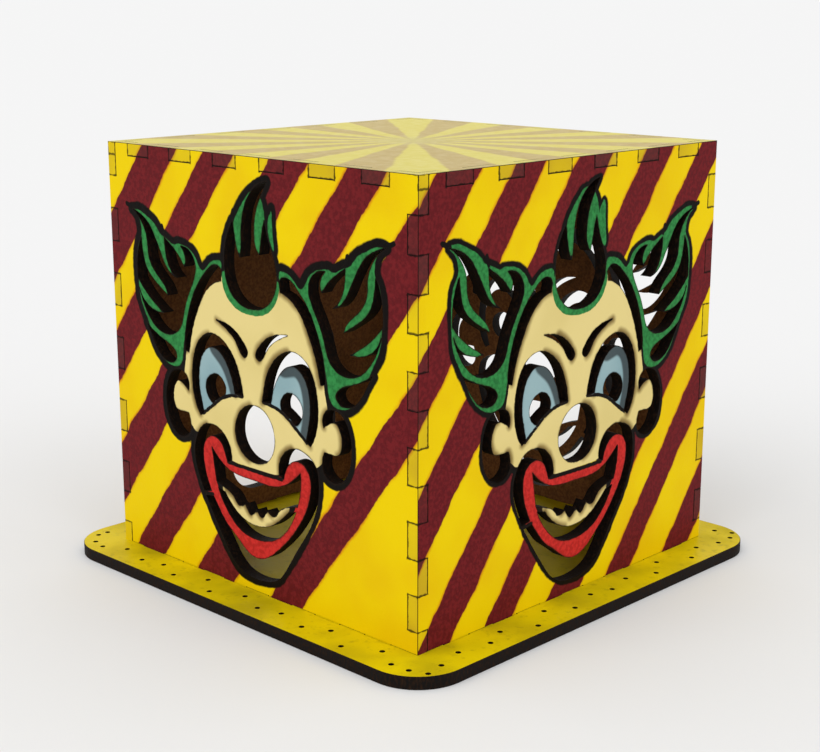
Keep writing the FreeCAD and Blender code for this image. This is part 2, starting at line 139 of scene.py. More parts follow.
# Maroon stripes on a wall: where each starts and ends, measured across them from the wall's middle.
FRONT_STRIPES = ((-42.7, -34.0), (-23.9, -12.5), (-2.3, 6.9), (16.8, 26.5), (36.2, 44.6), (52.2, 62.7))
RIGHT_STRIPES = (
    (-67.5, -58.5), (-47.7, -40.0), (-32.1, -22.0), (-12.6, -4.9),
    (4.0, 12.7), (23.0, 32.9), (41.6, 49.9), (58.5, 69.3),
)


# ---------------------------------------------------------------- outlines and distances
def mirrored(points):
    """The same points on the other side of the face."""
    return tuple((-x, y) for x, y in points)


def rounded(points, closed=True):
    """The line through some points with its corners cut."""
    line = np.array(points, float)
    for _ in range(CORNER_CUTS):
        after = np.roll(line, -1, axis=0) if closed else line[1:]
        before = line if closed else line[:-1]
        cut = np.stack((0.75 * before + 0.25 * after, 0.25 * before + 0.75 * after), axis=1).reshape(-1, 2)
        line = cut if closed else np.vstack((line[:1], cut, line[-1:]))
    return line


def distance_to_segments(points, starts, ends):
    """How far each point is from the nearest of some straight segments."""
    nearest = np.full(len(points), np.inf)
    for start, end in zip(starts, ends):
        along = end - start
        share = np.clip((points - start) @ along / max(along @ along, 1e-18), 0, 1)
        nearest = np.minimum(nearest, np.linalg.norm(points - start - share[:, None] * along, axis=1))
    return nearest


def inside(points, ring):
    """Whether each point is inside a closed ring."""
    crossings = np.zeros(len(points), int)
    for (x0, y0), (x1, y1) in zip(ring, np.roll(ring, -1, axis=0)):
        if y0 == y1:
            continue
        spans = (points[:, 1] < y0) != (points[:, 1] < y1)
        crossings += spans & (points[:, 0] < x0 + (points[:, 1] - y0) * (x1 - x0) / (y1 - y0))
    return crossings % 2 == 1


def depth_inside(points, outline):
    """Distance from a drawn zone's edge: positive inside the zone and negative outside."""
    ring = rounded(outline)
    gap = distance_to_segments(points, ring, np.roll(ring, -1, axis=0))
    return np.where(inside(points, ring), gap, -gap)


def painting(points, holes, smudge_side):
    """The stored distances of the painting, in millimetres, at points given in millimetres.

    The paint is darkened to a brownish tint beside the edges that have their opening on the darkening side:
    1 right, -1 left.
    """
    face_outline = HALF_FACE_ZONE + mirrored(HALF_FACE_ZONE)[::-1]
    side_hair = (SIDE_HAIR_ZONE, mirrored(SIDE_HAIR_ZONE))
    hair = np.max([depth_inside(points, zone) for zone in side_hair + (TOP_HAIR_ZONE,)], axis=0)
    eyes = np.max([depth_inside(points, zone) for zone in (IRIS_ZONE, mirrored(IRIS_ZONE))], axis=0)
    lips = np.minimum(depth_inside(points, LIPS_ZONE), -depth_inside(points, MOUTH_ZONE))
    far_strokes = tuple((mirrored(line), half_width) for line, half_width in PAIRED_STROKES)
    black = np.full(len(points), -FAR_MM)
    for line, half_width in SINGLE_STROKES + PAIRED_STROKES + far_strokes:
        curve = rounded(line, closed=False)
        black = np.maximum(black, half_width - distance_to_segments(points, curve[:-1], curve[1:]))
    shade = np.full(len(points), -FAR_MM)
    for line in (LEFT_EYE_SHADE, RIGHT_EYE_SHADE):
        curve = rounded(line, closed=False)
        shade = np.maximum(shade, -distance_to_segments(points, curve[:-1], curve[1:]))
    starts = np.vstack(holes)
    ends = np.vstack([np.roll(hole, -1, axis=0) for hole in holes])
    rim = distance_to_segments(points, starts, ends)
    steps = ends - starts
    darkened = smudge_side * steps[:, 1] > DARKENED_TILT * np.linalg.norm(steps, axis=1)
    return {
        "smudge": distance_to_segments(points, starts[darkened], ends[darkened]),
        "eye_shade": shade,
        "hair": hair,
        "spike": depth_inside(points, SPIKE_ZONE),
        "top_hair": depth_inside(points, TOP_HAIR_ZONE),
        "face": depth_inside(points, face_outline),
        "lips": lips,
        "eyes": eyes,
        "teeth": depth_inside(points, TEETH_ZONE),
        "black": black,
        "rim": rim,
    }


# ---------------------------------------------------------------- panels
def in_scene(name, data):
    """A new object of some mesh, light or camera, shown in the scene."""
    made = bpy.data.objects.new(name, data)
    bpy.context.scene.collection.objects.link(made)
    return made


PAINTED_FIELDS = ("hair", "spike", "top_hair", "face", "lips", "eyes", "eye_shade", "teeth", "black")
OPENING_FIELDS = ("rim", "smudge")
# The corners of the part of a wall that has the face on it.
ART_LOW = np.array((-0.9 * HALF_SIDE, 0.04 * BOX_TOP))
ART_HIGH = np.array((0.9 * HALF_SIDE, 0.98 * BOX_TOP))


def outline_rings(node, along, up):
    """The rings round a CAD panel's outer face, in its own plane, with the board always on the left."""
    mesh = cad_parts[node].data
    mesh.calc_loop_triangles()
    places = np.array([vertex.co for vertex in mesh.vertices])
    triangles = np.array([triangle.vertices for triangle in mesh.loop_triangles])
    outward = np.cross(along, up)
    height = places @ outward
    flat = np.stack((places @ along, places @ up), axis=1)
    keys = [tuple(key) for key in np.round(flat / WELD).astype(int)]
    on_face = triangles[(height[triangles] > height.max() - WELD).all(axis=1)]
    sides = {(keys[a], keys[b]) for a, b, c in on_face for a, b in ((a, b), (b, c), (c, a))}
    onward = {a: b for a, b in sides if (b, a) not in sides}
    where = dict(zip(keys, flat))
    rings = []
    while onward:
        first, key = onward.popitem()
        ring = [where[first]]
        while key != first:
            ring.append(where[key])
            key = onward.pop(key)
        rings.append(np.array(ring))
    rings.sort(key=lambda ring: -np.ptp(ring[:, 0]))
    return rings, height.max(), height.min()


def drawn_in(ring, distance):
    """A ring moved into the board by a distance, with its corners kept."""
    def unit(vectors):
        return vectors / np.linalg.norm(vectors, axis=1)[:, None]
    before = unit(ring - np.roll(ring, 1, axis=0))
    after = np.roll(before, -1, axis=0)
    left_before = np.stack((-before[:, 1], before[:, 0]), axis=1)
    left_after = np.stack((-after[:, 1], after[:, 0]), axis=1)
    spread = 1 + (left_before * left_after).sum(axis=1)
    return ring + distance * (left_before + left_after) / spread[:, None]


def triangulated(rings, extra):
    """Triangles that fill the board between rings, with extra vertices inside it."""
    points = np.vstack(rings + [extra])
    edges = []
    start = 0
    for ring in rings:
        count = len(ring)
        edges += [(start + i, start + (i + 1) % count) for i in range(count)]
        start += count
    result = delaunay_2d_cdt([Vector(point) for point in points], edges, [], 0, WELD / 10)
    places = np.array([tuple(place) for place in result[0]])
    triangles = np.array([face for face in result[2] if len(face) == 3])
    middles = places[triangles].mean(axis=1)
    within = inside(middles, rings[0])
    for ring in rings[1:]:
        within &= ~inside(middles, ring)
    origin = {}
    for index, sources in enumerate(result[3]):
        for source in sources:
            origin[source] = index
    return places, triangles[within], origin


def grid_points(rings):
    """Evenly spaced points inside the board round the face, clear of its edges."""
    x = np.arange(ART_LOW[0], ART_HIGH[0], GRID)
    y = np.arange(ART_LOW[1], ART_HIGH[1], GRID)
    points = np.stack(np.meshgrid(x, y), axis=2).reshape(-1, 2)
    keep = inside(points, rings[0])
    for ring in rings[1:]:
        keep &= ~inside(points, ring)
    points = points[keep]
    gap = np.full(len(points), np.inf)
    for ring in rings:
        gap = np.minimum(gap, distance_to_segments(points, ring, np.roll(ring, -1, axis=0)))
    return points[gap > GRID / 3]


class PanelMesh:
    """The vertices, faces and material slots of one panel, built in its own plane."""

    def __init__(self, along, up):
        self.along = along
        self.up = up
        self.outward = np.cross(along, up)
        self.vertices = []
        self.faces = []
        self.slots = []

    def place(self, point, level):
        """Where a point of the panel's plane is in space."""
        return self.along * point[0] + self.up * point[1] + self.outward * level

    def add_level(self, points, level):
        """Add vertices at one level, and give the number of the first."""
        start = len(self.vertices)
        self.vertices.extend(self.place(point, level) for point in points)
        return start

    def add_face(self, rings, extra, level, slot, flipped=False):
        """Fill the board between rings at one level, and give its points and the rings' vertex numbers."""
        places, triangles, origin = triangulated(rings, extra)
        start = self.add_level(places, level)
        for triangle in triangles:
            corners = triangle[::-1] if flipped else triangle
            self.faces.append(tuple(start + int(i) for i in corners))
            self.slots.append(slot)
        return places, [start + origin[i] for i in range(sum(len(ring) for ring in rings))]

    def add_strip(self, upper, lower, ring, slot_of):
        """Join two rows of vertices that both follow a ring."""
        count = len(ring)
        for i in range(count):
            j = (i + 1) % count
            self.faces.append((upper[j], upper[i], lower[i], lower[j]))
            self.slots.append(slot_of(ring[i], ring[j]))

    def add_edges(self, rings, front_rim, back_rim, front, back, edge_slot):
        """The cut edges: worn at both arrises round the outside, and straight through in the openings."""
        def burnt(start, end):
            return edge_slot(None, None)

        def facing(start, end):
            step = (end - start) / np.linalg.norm(end - start)
            out = self.along * step[1] - self.up * step[0]
            return edge_slot(out, out @ self.place(start, front))

        outline = rings[0]
        count = len(outline)
        upper = self.add_level(outline, front - BEVEL)
        lower = self.add_level(outline, back + BEVEL)
        upper_row = list(range(upper, upper + count))
        lower_row = list(range(lower, lower + count))
        self.add_strip(front_rim[:count], upper_row, outline, burnt)
        self.add_strip(upper_row, lower_row, outline, facing)
        self.add_strip(lower_row, back_rim[:count], outline, burnt)
        start = count
        for ring in rings[1:]:
            span = slice(start, start + len(ring))
            self.add_strip(front_rim[span], back_rim[span], ring, burnt)
            start += len(ring)

    def finished(self, name, materials):
        """The mesh as Blender's own."""
        mesh = bpy.data.meshes.new(name)
        mesh.from_pydata([tuple(vertex) for vertex in self.vertices], [], self.faces)
        for material in materials:
            mesh.materials.append(material)
        mesh.polygons.foreach_set("material_index", self.slots)
        mesh.polygons.foreach_set("use_smooth", [True] * len(mesh.polygons))
        mesh.set_sharp_from_angle(angle=SHARP_ANGLE)
        return mesh


def store(mesh, field, values):
    """Keep a number on every vertex for the materials to read."""
    mesh.attributes.new(field, "FLOAT", "POINT").data.foreach_set("value", values.astype(np.float32))


def store_painting(mesh, face_places, rings, smudge_side):
    """Store the painting on the face's vertices, which come first, and nothing near on all the others."""
    middle = np.array((0.0, BOX_TOP / 2))
    holes = [(ring - middle) / DRAWN for ring in rings[1:]]
    fields = painting((face_places - middle) / DRAWN, holes, smudge_side) if smudge_side else {}
    for field in PAINTED_FIELDS + OPENING_FIELDS:
        values = np.full(len(mesh.vertices), -FAR_MM if field in PAINTED_FIELDS else FAR_MM)
        if smudge_side:
            values[:len(face_places)] = fields[field]
        store(mesh, field, values)
    ends = np.ones(len(mesh.vertices))
    ends[:len(face_places)] = 0
    store(mesh, "cut_end", ends)


# Which of a panel's materials lies where.  edge(outward, level) gives the slot of a cut edge that faces
# outward at that level, and edge(None, None) the slot of an edge inside an opening or at an arris.
Slots = namedtuple("Slots", "face back edge")


def make_panel(node, along, up, materials, slots, smudge_side=0):
    """A mesh of a CAD panel: fine on its outer face, worn at its arrises, with its materials by place.

    A panel with a darkening side has the clown's face on it.
    """
    rings, front, back = outline_rings(node, along, up)
    worn = [drawn_in(rings[0], BEVEL)] + rings[1:]
    no_points = np.empty((0, 2))
    panel = PanelMesh(along, up)
    art = grid_points(rings) if smudge_side else no_points
    face_places, front_rim = panel.add_face(worn, art, front, slots.face)
    back_rim = panel.add_face(worn, no_points, back, slots.back, flipped=True)[1]
    panel.add_edges(rings, front_rim, back_rim, front, back, slots.edge)
    mesh = panel.finished("painted_" + node, materials)
    store_painting(mesh, face_places, rings, smudge_side)
    mesh.update()
    return in_scene(mesh.name, mesh)


# ---------------------------------------------------------------- materials
def paint_colour(red, green, blue):
    """A colour given as the 0 to 255 values of a paint chart, in linear light."""
    def linear(value):
        share = value / 255
        return share / 12.92 if share <= 0.04045 else ((share + 0.055) / 1.055) ** 2.4
    return (linear(red), linear(green), linear(blue), 1.0)


YELLOW = paint_colour(234, 203, 0)
ORANGE = paint_colour(206, 124, 8)
MAROON = paint_colour(112, 30, 34)
DARK_MAROON = paint_colour(94, 22, 27)
GREEN = paint_colour(52, 136, 70)
DARK_GREEN = paint_colour(36, 106, 52)
BEIGE = paint_colour(224, 205, 136)
DUSKY_BEIGE = paint_colour(208, 188, 116)
PALE_BLUE = paint_colour(148, 176, 180)
GREY_BLUE = paint_colour(130, 160, 166)
EYE_GREY = paint_colour(42, 44, 46)
LIP_RED = paint_colour(200, 46, 42)
DARK_RED = paint_colour(172, 34, 30)
BLACK = paint_colour(14, 10, 8)
OLIVE = paint_colour(92, 84, 22)
# A brownish tint that darkens the beige beside one side of each opening.
SIDE_DARKENING = paint_colour(110, 84, 36)
END_GREY = paint_colour(58, 60, 54)
BURNT = paint_colour(44, 27, 15)
SCORCHED = paint_colour(13, 8, 6)
BARE_BOARD = paint_colour(146, 98, 56)
DARK_BOARD = paint_colour(116, 74, 40)
# The top's yellow and maroon are duller and paler than the walls' paint: their own colour with part of the
# gloss's glare painted in.
TOP_YELLOW_AND_GLARE = paint_colour(180, 166, 26)
TOP_MAROON_AND_GLARE = paint_colour(124, 68, 56)
TOP_MIDDLE = paint_colour(150, 136, 84)
BASE_YELLOW = paint_colour(222, 198, 6)
BASE_OLIVE = paint_colour(180, 160, 10)
GLOSS_HAZE = paint_colour(222, 212, 128)
RAY_PAIRS = 16                      # yellow and maroon rays on the top, counted in pairs
SEED_STEP = 0.31                    # shifts each wall's noise, so that no two walls are alike


class Recipe:
    """Builds one material's nodes."""

    def __init__(self, name):
        self.material = bpy.data.materials.new(name)
        self.material.use_nodes = True
        self.tree = self.material.node_tree
        self.shader = self.tree.nodes["Principled BSDF"]
        self.place = self.tree.nodes.new("ShaderNodeTexCoord").outputs["Object"]
        split = self.node("ShaderNodeSeparateXYZ", {0: self.place})
        self.x, self.y, self.z = split.outputs

    def node(self, kind, inputs, **settings):
        """A new node with its settings made and its inputs joined or set."""
        made = self.tree.nodes.new(kind)
        for setting, choice in settings.items():
            setattr(made, setting, choice)
        for key, given in inputs.items():
            self.give(made.inputs[key], given)
        return made

    def give(self, socket, given):
        """Join a socket to an output, or set its number."""
        if isinstance(given, bpy.types.NodeSocket):
            self.tree.links.new(given, socket)
        else:
            socket.default_value = given

    def math(self, operation, first, second=0.0):
        """One step of arithmetic on numbers or outputs."""
        return self.node("ShaderNodeMath", {0: first, 1: second}, operation=operation).outputs[0]

    def blend(self, share, first, second):
        """Two colours mixed: all first at a share of 0 and all second at 1."""
        made = self.node("ShaderNodeMix", {}, data_type="RGBA")
        self.give(made.inputs[0], share)
        self.give(made.inputs[6], first)
        self.give(made.inputs[7], second)
        return made.outputs[2]

    def stored(self, field):
        """A distance stored on the vertices."""
        return self.node("ShaderNodeAttribute", {}, attribute_name=field).outputs["Fac"]

    def noise(self, size, detail=2.0, seed=0.0, stretch=(1, 1, 1)):
        """Smooth noise from 0 to 1 whose blotches are about this size."""
        shift = self.node("ShaderNodeMapping", {0: self.place, "Location": (seed, seed / 3, seed / 7),
                                                "Scale": stretch}).outputs[0]
        made = self.node("ShaderNodeTexNoise", {"Vector": shift, "Scale": 1 / size, "Detail": detail})
        return made.outputs["Fac"]

    def sway(self, size, reach, detail=2.0, seed=0.0):
        """Noise as a distance that swings to either side of nought, by up to about this reach."""
        return self.math("MULTIPLY", self.math("SUBTRACT", self.noise(size, detail, seed), 0.5), 4 * reach)

    def ramp(self, value, low, high, to_low=0.0, to_high=1.0):
        """A value carried from one range to another, smoothly and without going past its ends."""
        made = self.node("ShaderNodeMapRange", {"Value": value, "From Min": low, "From Max": high,
                                                "To Min": to_low, "To Max": to_high},
                         interpolation_type="SMOOTHSTEP")
        return made.outputs[0]

    def zone(self, distance, edge=0.0, blur=0.09):
        """1 where a distance is past an edge and 0 before it."""
        return self.ramp(distance, edge - blur, edge + blur)

    def finish(self, colour, roughness, bump=None, bump_depth=0.0, **constants):
        """Join the colour, roughness and surface texture to the shader and set its plain numbers."""
        self.give(self.shader.inputs["Base Color"], colour)
        self.give(self.shader.inputs["Roughness"], roughness)
        if bump is not None:
            made = self.node("ShaderNodeBump", {"Height": bump, "Distance": bump_depth, "Strength": 0.6})
            self.tree.links.new(made.outputs[0], self.shader.inputs["Normal"])
        for name, number in constants.items():
            self.shader.inputs[name.replace("_", " ")].default_value = number
        return self.material


def maroon_depth(recipe, across, stripes):
    """Distance into the nearest maroon stripe, in millimetres, from a place across the stripes.

    It climbs to the middle of each stripe and falls to the middle of each gap, so a colour ramp holds it.
    """
    reach = 80.0                    # the ramp covers this far to either side of the wall's middle
    full = 24.0                     # depths from minus half of this to half of it fit the ramp
    margin = 10.0                   # plain yellow beyond the first stripe and the last
    turns = []
    for (low, high), following in zip(stripes, stripes[1:] + (None,)):
        turns.append(((low + high) / 2, (high - low) / 2))
        if following:
            turns.append(((high + following[0]) / 2, (high - following[0]) / 2))
    turns.insert(0, (stripes[0][0] - margin, -margin))
    turns.append((stripes[-1][1] + margin, -margin))
    share = recipe.math("DIVIDE", recipe.math("ADD", across, reach), 2 * reach)
    made = recipe.node("ShaderNodeValToRGB", {"Fac": share})
    elements = made.color_ramp.elements
    while len(elements) < len(turns):
        elements.new(0.5)
    for element, (place, depth) in zip(elements, turns):
        element.position = (place + reach) / (2 * reach)
        level = 0.5 + depth / full
        element.color = (level, level, level, 1)
    return recipe.math("MULTIPLY", recipe.math("SUBTRACT", made.outputs[0], 0.5), full)


def seam_distance(recipe, sideways, upward):
    """Distance, in millimetres, from the nearest side of a locked finger at a wall's sides and top."""
    step = DRAWN_SIDE_MM / FINGERS
    half = DRAWN_SIDE_MM / 2
    board = BOARD / DRAWN
    x = recipe.math("DIVIDE", sideways, DRAWN)
    y = recipe.math("DIVIDE", upward, DRAWN)
    past_side = recipe.math("SUBTRACT", recipe.math("ABSOLUTE", x), half - board)
    past_top = recipe.math("SUBTRACT", y, half - board)
    up_step = recipe.math("PINGPONG", recipe.math("ADD", y, half), step / 2)
    across_step = recipe.math("PINGPONG", recipe.math("ADD", x, half), step / 2)
    beside = recipe.math("MAXIMUM", up_step, recipe.math("MULTIPLY", past_side, -1.0))
    above = recipe.math("MAXIMUM", across_step, recipe.math("MULTIPLY", past_top, -1.0))
    root = recipe.math("MINIMUM", recipe.math("ABSOLUTE", past_side), recipe.math("ABSOLUTE", past_top))
    whole = recipe.math("MULTIPLY", recipe.math("SUBTRACT", 1.0, recipe.stored("cut_end")), FAR_MM)
    return recipe.math("MINIMUM", recipe.math("MINIMUM", beside, above), recipe.math("ADD", root, whole))


WallNoise = namedtuple("WallNoise", "sway fuzz mottle cloud")


def striped(recipe, wall, noise, sideways, upward):
    """Yellow with maroon stripes that lean to the right and bleed a little into it."""
    lean = math.radians(wall.lean)
    across = recipe.math("SUBTRACT", recipe.math("MULTIPLY", upward, math.cos(lean) / DRAWN),
                        recipe.math("MULTIPLY", sideways, math.sin(lean) / DRAWN))
    depth = maroon_depth(recipe, recipe.math("ADD", across, noise.sway), wall.stripes)
    depth = recipe.math("ADD", depth, noise.fuzz)
    maroon = recipe.blend(recipe.ramp(noise.mottle, 0.38, 0.66), DARK_MAROON, MAROON)
    yellow = recipe.blend(recipe.ramp(noise.cloud, 0.35, 0.75, 0.0, 0.22), YELLOW, ORANGE)
    patchy = recipe.ramp(noise.cloud, 0.3, 0.6, 0.2, 0.9)
    bleed = recipe.math("MULTIPLY", recipe.ramp(depth, -0.8, 0.05), patchy)
    colour = recipe.blend(bleed, yellow, ORANGE)
    return recipe.blend(recipe.zone(depth, 0.0, 0.14), colour, maroon)


def with_hair(recipe, wall, noise, rim, green, colour):
    """A brushed black border round the openings and the hair, and the green hair itself."""
    hair = recipe.math("ADD", recipe.stored("hair"), noise.fuzz)
    spike = recipe.math("ADD", recipe.stored("spike"), noise.fuzz)
    brushed = recipe.math("MULTIPLY", noise.sway, 0.6)
    border = recipe.ramp(recipe.math("ADD", rim, brushed), wall.border + 0.25, wall.border - 0.15)
    border = recipe.math("MAXIMUM", border, recipe.zone(recipe.math("ADD", hair, brushed), -1.3, 0.25))
    border = recipe.math("MAXIMUM", border, recipe.zone(spike, -0.9, 0.25))
    colour = recipe.blend(border, colour, BLACK)
    greened = recipe.math("MAXIMUM", recipe.zone(hair, wall.hair_trim, 0.14),
                         recipe.zone(spike, wall.hair_trim, 0.14))
    return recipe.blend(greened, colour, green)


def with_face(recipe, noise, green, colour):
    """The face, browned beside one side of its openings, the top tuft over it, the lips, the irises, the
    teeth and the black strokes.
    """
    beige = recipe.blend(recipe.ramp(noise.cloud, 0.4, 0.8, 0.0, 0.5), BEIGE, DUSKY_BEIGE)
    # The beige turns brownish within about 1.6 mm of the openings' edges on the darkening side.
    smudge = recipe.ramp(recipe.math("ADD", recipe.stored("smudge"), noise.sway), 1.6, 0.2, 0.0, 0.8)
    beige = recipe.blend(smudge, beige, SIDE_DARKENING)
    face = recipe.math("ADD", recipe.stored("face"), recipe.math("MULTIPLY", noise.fuzz, 0.5))
    colour = recipe.blend(recipe.zone(face), colour, beige)
    top_hair = recipe.math("ADD", recipe.stored("top_hair"), noise.fuzz)
    over_face = recipe.math("MINIMUM", top_hair, recipe.math("ADD", face, 0.6))
    colour = recipe.blend(recipe.zone(over_face), colour, green)
    red = recipe.blend(recipe.ramp(noise.mottle, 0.35, 0.65), DARK_RED, LIP_RED)
    lips = recipe.math("ADD", recipe.stored("lips"), noise.fuzz)
    colour = recipe.blend(recipe.zone(lips), colour, red)
    blue = recipe.blend(recipe.ramp(noise.cloud, 0.35, 0.7), PALE_BLUE, GREY_BLUE)
    eye_shade = recipe.ramp(recipe.stored("eye_shade"), -4.0, -3.2, 0.0, 0.85)
    blue = recipe.blend(eye_shade, blue, EYE_GREY)
    colour = recipe.blend(recipe.zone(recipe.stored("eyes")), colour, blue)
    colour = recipe.blend(recipe.zone(recipe.stored("teeth"), blur=0.2), colour, beige)
    stroke = recipe.math("ADD", recipe.stored("black"), noise.fuzz)
    return recipe.blend(recipe.zone(stroke), colour, BLACK)


def with_burns(recipe, noise, rim, sideways, upward, colour):
    """Smoke and scorching beside the openings, duller finger ends, and dark lines round the fingers."""
    brushed = recipe.math("MULTIPLY", noise.sway, 0.6)
    smoke = recipe.ramp(recipe.math("ADD", rim, brushed), 0.5, 0.0, 0.0, 0.4)
    colour = recipe.blend(smoke, colour, BURNT)
    colour = recipe.blend(recipe.ramp(rim, 0.22, 0.06), colour, SCORCHED)
    end = recipe.math("MULTIPLY", recipe.stored("cut_end"), recipe.ramp(noise.cloud, 0.3, 0.7, 0.1, 0.3))
    colour = recipe.blend(end, colour, END_GREY)
    frayed = recipe.math("MULTIPLY", noise.fuzz, 2.0)
    seam = recipe.math("ADD", seam_distance(recipe, sideways, upward), frayed)
    return recipe.blend(recipe.ramp(seam, 0.36, 0.08, 0.0, 0.8), colour, SCORCHED)


def make_wall_paint(wall, seed):
    """A wall's paint: leaning stripes, and the clown's face where the vertices say that it is."""
    recipe = Recipe(wall.node + "_paint")
    noise = WallNoise(
        sway=recipe.sway(0.007, 0.45, seed=seed),
        fuzz=recipe.sway(0.0011, 0.10, detail=3.0, seed=seed),
        mottle=recipe.noise(0.0009, detail=3.0, seed=seed),
        cloud=recipe.noise(0.018, detail=2.0, seed=seed),
    )
    sideways = recipe.math("ADD", recipe.math("MULTIPLY", recipe.x, wall.along[0]),
                          recipe.math("MULTIPLY", recipe.y, wall.along[1]))
    upward = recipe.math("SUBTRACT", recipe.z, BOX_TOP / 2)
    rim = recipe.math("SUBTRACT", recipe.stored("rim"), noise.fuzz)
    green = recipe.blend(recipe.ramp(noise.mottle, 0.3, 0.7), DARK_GREEN, GREEN)
    colour = striped(recipe, wall, noise, sideways, upward)
    colour = with_hair(recipe, wall, noise, rim, green, colour)
    colour = with_face(recipe, noise, green, colour)
    colour = with_burns(recipe, noise, rim, sideways, upward, colour)
    roughness = recipe.ramp(noise.mottle, 0.3, 0.7, 0.48, 0.62)
    grain = recipe.noise(0.0006, detail=3.0, seed=seed)
    return recipe.finish(colour, roughness, grain, 0.00006, Specular_IOR_Level=0.05)


def make_top_paint():
    """The top: yellow and maroon rays from the middle, under a clear gloss, with part of the gloss's glare
    painted into their colours.
    """
    recipe = Recipe("top_rays_paint_and_glare")
    sway = recipe.sway(0.012, 0.9)
    fuzz = recipe.sway(0.0012, 0.12, detail=3.0)
    mottle = recipe.noise(0.002, detail=4.0)
    angle = recipe.math("ARCTAN2", recipe.y, recipe.x)
    turned = recipe.math("MULTIPLY", recipe.math("ADD", angle, math.pi / 4), RAY_PAIRS)
    wave = recipe.math("MULTIPLY", recipe.math("COSINE", turned), -1.0)
    flat = recipe.node("ShaderNodeCombineXYZ", {0: recipe.x, 1: recipe.y}).outputs[0]
    length = recipe.node("ShaderNodeVectorMath", {0: flat}, operation="LENGTH").outputs["Value"]
    depth = recipe.math("MULTIPLY", recipe.math("MULTIPLY", wave, length), 1 / (RAY_PAIRS * DRAWN))
    depth = recipe.math("ADD", depth, recipe.math("ADD", recipe.math("MULTIPLY", sway, 0.5), fuzz))
    # Maroon and yellow both start from colours washed with painted glare.
    maroon = recipe.blend(recipe.ramp(mottle, 0.3, 0.7, 0.0, 0.25), TOP_MAROON_AND_GLARE, MAROON)
    yellow = recipe.blend(recipe.ramp(recipe.noise(0.02), 0.35, 0.75, 0.0, 0.3), TOP_YELLOW_AND_GLARE, BASE_OLIVE)
    colour = recipe.blend(recipe.zone(depth, 0.0, 0.5), yellow, maroon)
    colour = recipe.blend(recipe.ramp(length, 0.016, 0.002, 0.0, 0.7), colour, TOP_MIDDLE)
    end = recipe.math("MULTIPLY", recipe.stored("cut_end"), 0.3)
    colour = recipe.blend(end, colour, OLIVE)
    grain = recipe.noise(0.0009, detail=3.0)
    return recipe.finish(colour, recipe.ramp(mottle, 0.3, 0.7, 0.30, 0.40), grain, 0.00005,
                         Specular_IOR_Level=0.1, Sheen_Weight=0.85, Sheen_Roughness=0.5,
                         Sheen_Tint=GLOSS_HAZE)


def make_base_paint():
    """The base plate's top: yellow gloss that pools and dulls in places."""
    recipe = Recipe("base_yellow_gloss")
    cloud = recipe.noise(0.016, detail=3.0)
    mottle = recipe.noise(0.0018, detail=4.0)
    yellow = recipe.blend(recipe.ramp(cloud, 0.35, 0.72, 0.0, 0.8), BASE_YELLOW, BASE_OLIVE)
    colour = recipe.blend(recipe.ramp(mottle, 0.55, 0.8, 0.0, 0.3), yellow, OLIVE)
    grain = recipe.noise(0.0008, detail=3.0)
    return recipe.finish(colour, recipe.ramp(cloud, 0.3, 0.7, 0.38, 0.55), grain, 0.00005,
                         Specular_IOR_Level=0.05)


def make_burnt_edge():
    """A laser-cut edge: scorched nearly black, with fine streaks through the board."""
    recipe = Recipe("burnt_edge")
    streaks = recipe.noise(0.0005, detail=3.0, stretch=(1, 1, 0.4))
    colour = recipe.blend(recipe.ramp(streaks, 0.4, 0.8), SCORCHED, BURNT)
    return recipe.finish(colour, recipe.ramp(streaks, 0.3, 0.7, 0.55, 0.8), streaks, 0.00008,
                         Specular_IOR_Level=0.1)


def make_bare_board():
    """Unpainted board inside the box: matt brown fibres with smoke stains."""
    recipe = Recipe("bare_board")
    fibres = recipe.noise(0.0007, detail=5.0)
    stain = recipe.noise(0.014, detail=3.0)
    colour = recipe.blend(recipe.ramp(fibres, 0.35, 0.65), DARK_BOARD, BARE_BOARD)
    colour = recipe.blend(recipe.ramp(stain, 0.5, 0.8, 0.0, 0.6), colour, BURNT)
    return recipe.finish(colour, recipe.ramp(fibres, 0.3, 0.7, 0.75, 0.9), fibres, 0.00008,
                         Specular_IOR_Level=0.2)


# A wall's lean is in degrees.  In millimetres, border is how far the black runs out from its openings, and
# hair_trim how far the black covers its hair.  Its smudge_side is 1 for right, -1 for left, 0 with no face:
# the side of the openings that the beige is darkened beside.
Wall = namedtuple("Wall", "node along stripes lean border hair_trim smudge_side")
WALLS = (
    Wall("wall_front", X_AXIS, FRONT_STRIPES, lean=52, border=1.5, hair_trim=0.6, smudge_side=1),
    Wall("wall_right", Y_AXIS, RIGHT_STRIPES, lean=53, border=1.0, hair_trim=0.0, smudge_side=-1),
    Wall("wall_back", -X_AXIS, FRONT_STRIPES, lean=52, border=1.3, hair_trim=0.3, smudge_side=1),
    Wall("wall_left", -Y_AXIS, RIGHT_STRIPES, lean=53, border=1.0, hair_trim=0.0, smudge_side=0),
)
burnt_edge = make_burnt_edge()
bare_board = make_bare_board()
shell_materials = [make_wall_paint(wall, SEED_STEP * (number + 1)) for number, wall in enumerate(WALLS)]
TOP_SLOT = len(WALLS)
BURNT_SLOT = TOP_SLOT + 1
BARE_SLOT = TOP_SLOT + 2
shell_materials += [make_top_paint(), burnt_edge, bare_board]
base_materials = [make_base_paint(), burnt_edge, bare_board]
BASE_PAINT_SLOT, BASE_BURNT_SLOT, BASE_BARE_SLOT = range(len(base_materials))
PAINTED_SIDES = [(np.cross(wall.along, Z_AXIS), HALF_SIDE) for wall in WALLS]
PAINTED_SIDES.append((Z_AXIS, BOX_TOP))


def shell_edge_slot(outward, level):
    """Paint where a cut edge lies in an outer face of the box, and burnt board elsewhere."""
    if outward is not None:
        for slot, (facing, reach) in enumerate(PAINTED_SIDES):
            if outward @ facing > FLUSH and level > reach - BEVEL:
                return slot
    return BURNT_SLOT


